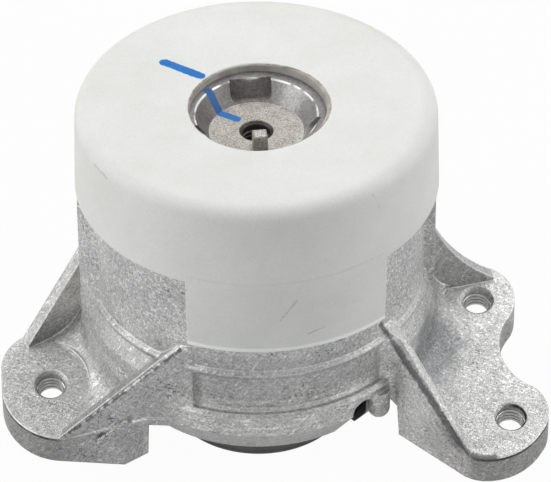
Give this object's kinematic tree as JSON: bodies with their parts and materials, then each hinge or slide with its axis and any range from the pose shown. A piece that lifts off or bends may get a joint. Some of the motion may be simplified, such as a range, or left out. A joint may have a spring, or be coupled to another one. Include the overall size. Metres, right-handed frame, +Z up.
{
  "type": "hydraulic engine mount",
  "caption": "Hydraulic engine mount: die-cast housing with angled threaded feet, conical core with an M10 thread, rubber spring inside and a pale heat-shield cap with a front apron.",
  "frame": {"origin": "centre of the bottom cover's flat underside, on the mount's axis", "axes": "+Z up along the mount's axis toward the core's thread; -Y toward the side with the cap's apron; +X toward the arm with two feet"},
  "size_m": [0.1653, 0.1084, 0.115],
  "materials": {
    "housing": "die-cast, fine mottled grain, machined seats",
    "heat_shield_cap": "pale grey EPDM, satin",
    "core": "cast, turned top face",
    "core_insert": "beige-grey blasted steel",
    "main_spring": "black natural rubber",
    "outer_ring": "phosphated steel",
    "stop_ring": "phosphated steel",
    "rebound_buffer": "black rubber",
    "seal_ring": "black rubber",
    "upper_channel_plate": "black glass-filled nylon",
    "lower_channel_plate": "black glass-filled nylon",
    "decoupler_membrane": "black rubber",
    "locating_pins": "ground steel",
    "bellows_ring": "phosphated steel",
    "bellows": "black rubber",
    "bottom_cover": "dark coated pressed steel"
  },
  "bodies": {
    "root": {"housing": "housing", "heat_shield_cap": "heat_shield_cap", "core": "core", "core_insert": "core_insert", "main_spring": "main_spring", "outer_ring": "outer_ring", "stop_ring": "stop_ring", "rebound_buffer": "rebound_buffer", "seal_ring": "seal_ring", "upper_channel_plate": "upper_channel_plate", "lower_channel_plate": "lower_channel_plate", "decoupler_membrane": "decoupler_membrane", "locating_pins": "locating_pins", "bellows_ring": "bellows_ring", "bellows": "bellows", "bottom_cover": "bottom_cover"}
  },
  "joints": []
}
